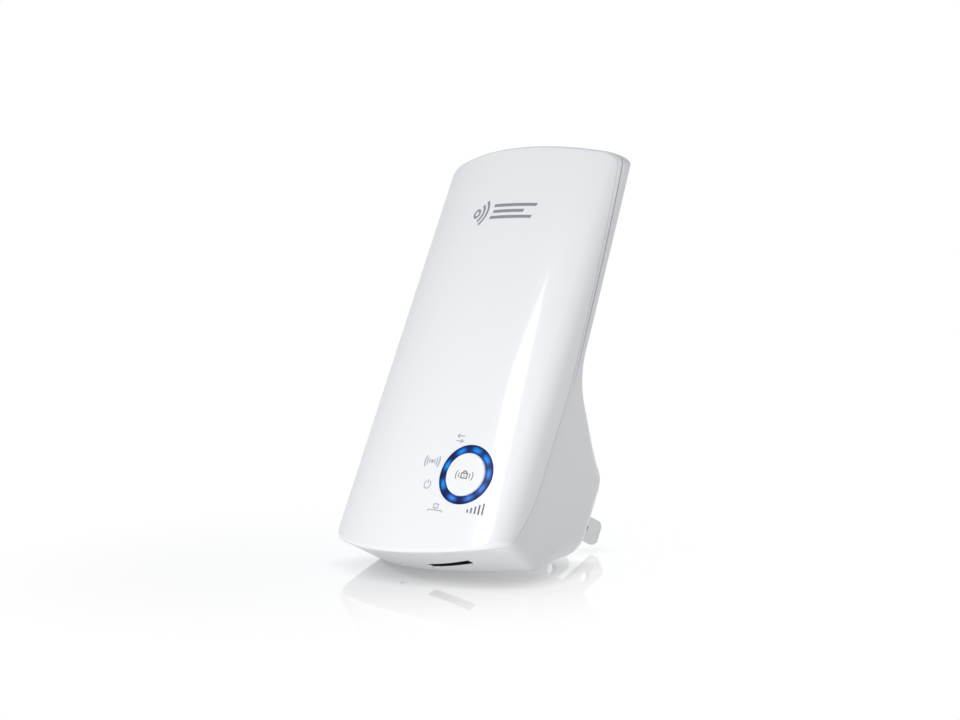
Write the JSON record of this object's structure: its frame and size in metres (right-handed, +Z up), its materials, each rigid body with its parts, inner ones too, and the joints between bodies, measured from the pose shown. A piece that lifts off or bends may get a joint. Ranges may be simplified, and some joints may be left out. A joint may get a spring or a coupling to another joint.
{
  "type": "wifi range extender",
  "caption": "Plug-in wireless range extender: slim leaning white cover over a deep rear boot, ring of status lights round a push button, Ethernet socket below, flat blade plug behind.",
  "frame": {"origin": "middle of the rear face that meets the wall outlet, halfway between the two plug blades", "axes": "+Z up as plugged into a wall, +Y towards the outlet along the blades, +X to the right seen from the front"},
  "size_m": [0.0658, 0.0589, 0.11],
  "materials": {
    "cover_white": "glossy",
    "housing_white": "glossy",
    "ring_blue": "glossy",
    "guide_blue": "translucent",
    "led_white": "translucent",
    "button_white": "glossy",
    "switch_metal": "satin",
    "black_plastic": "matte",
    "board_green": "satin",
    "steel": "satin",
    "chip_black": "matte",
    "shield_metal": "satin",
    "antenna_brass": "satin",
    "jack_black": "matte",
    "contact_gold": "polished",
    "board_tan": "matte",
    "ferrite": "matte",
    "winding_tape": "satin",
    "capacitor_sleeve": "glossy",
    "fuse_body": "matte",
    "choke_sleeve": "satin",
    "disc_blue": "glossy",
    "opto_white": "matte",
    "carrier_white": "satin",
    "blade_metal": "polished",
    "label_film": "satin",
    "print_ink": "satin"
  },
  "bodies": {
    "extender": {"front_cover": "cover_white", "rear_housing": "housing_white", "light_ring": "ring_blue", "light_guides": "guide_blue", "status_leds": "led_white", "button_switch": "switch_metal", "main_board": "board_green", "board_screws": "steel", "processor": "chip_black", "memory_chip": "chip_black", "flash_chip": "chip_black", "crystal": "shield_metal", "shield_can": "shield_metal", "left_antenna": "antenna_brass", "right_antenna": "antenna_brass", "ethernet_jack": "jack_black", "jack_contacts": "contact_gold", "lan_transformer": "chip_black", "reset_switch": "switch_metal", "header_block": "black_plastic", "header_pins": "contact_gold", "power_board": "board_tan", "power_screws": "steel", "transformer_core": "ferrite", "transformer_winding": "winding_tape", "input_capacitor": "capacitor_sleeve", "output_capacitor": "capacitor_sleeve", "bridge_rectifier": "chip_black", "fuse": "fuse_body", "choke": "choke_sleeve", "safety_capacitor": "disc_blue", "optocoupler": "opto_white", "power_chip": "chip_black", "plug_carrier": "carrier_white", "left_blade": "blade_metal", "right_blade": "blade_metal", "rating_label": "label_film"},
    "button": {"wps_button": "button_white", "button_plunger": "black_plastic"},
    "reset_plunger_body": {"reset_plunger": "black_plastic"}
  },
  "joints": [
    {"name": "button_press", "type": "slide", "parent": "extender", "child": "button", "axis": [0, 1, 0], "range_m": [0, 0.0005], "stiffness_N_per_m": 1200, "springref_m": -0.0005},
    {"name": "reset_press", "type": "slide", "parent": "extender", "child": "reset_plunger_body", "axis": [0, 0, 1], "range_m": [0, 0.0003], "stiffness_N_per_m": 1200, "springref_m": -0.0005}
  ]
}
